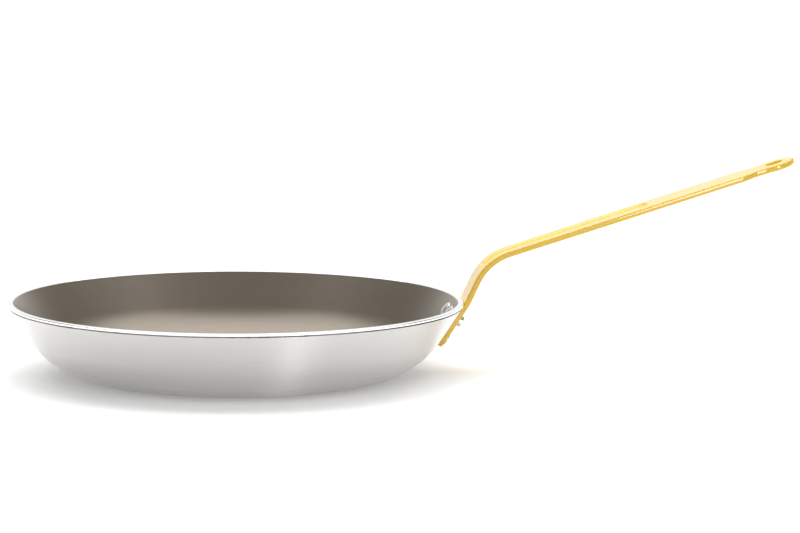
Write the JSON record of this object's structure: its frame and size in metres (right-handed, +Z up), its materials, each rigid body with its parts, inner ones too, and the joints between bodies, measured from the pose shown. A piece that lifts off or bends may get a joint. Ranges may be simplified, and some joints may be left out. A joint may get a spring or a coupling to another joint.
{
  "type": "omelette pan",
  "caption": "Shallow aluminium omelette pan with sloping sides, a non-stick lining and a long bent strip handle in yellow coated steel, riveted on and ending in a hanging eye.",
  "frame": {"origin": "centre of the pan's flat underside, where it stands", "axes": "+X along the handle, away from the pan; +Z up out of the pan"},
  "size_m": [0.4882, 0.28, 0.1324],
  "materials": {
    "spun_aluminium": "turned satin",
    "nonstick_coating": "satin fluoropolymer coating",
    "yellow_coated_steel": "glossy epoxy coating",
    "rivet_aluminium": "bright"
  },
  "bodies": {
    "root": {"pan_body": "spun_aluminium", "nonstick_lining": "nonstick_coating", "handle_strip": "yellow_coated_steel", "rivet_upper_left": "rivet_aluminium", "rivet_upper_right": "rivet_aluminium", "rivet_lower": "rivet_aluminium"}
  },
  "joints": []
}
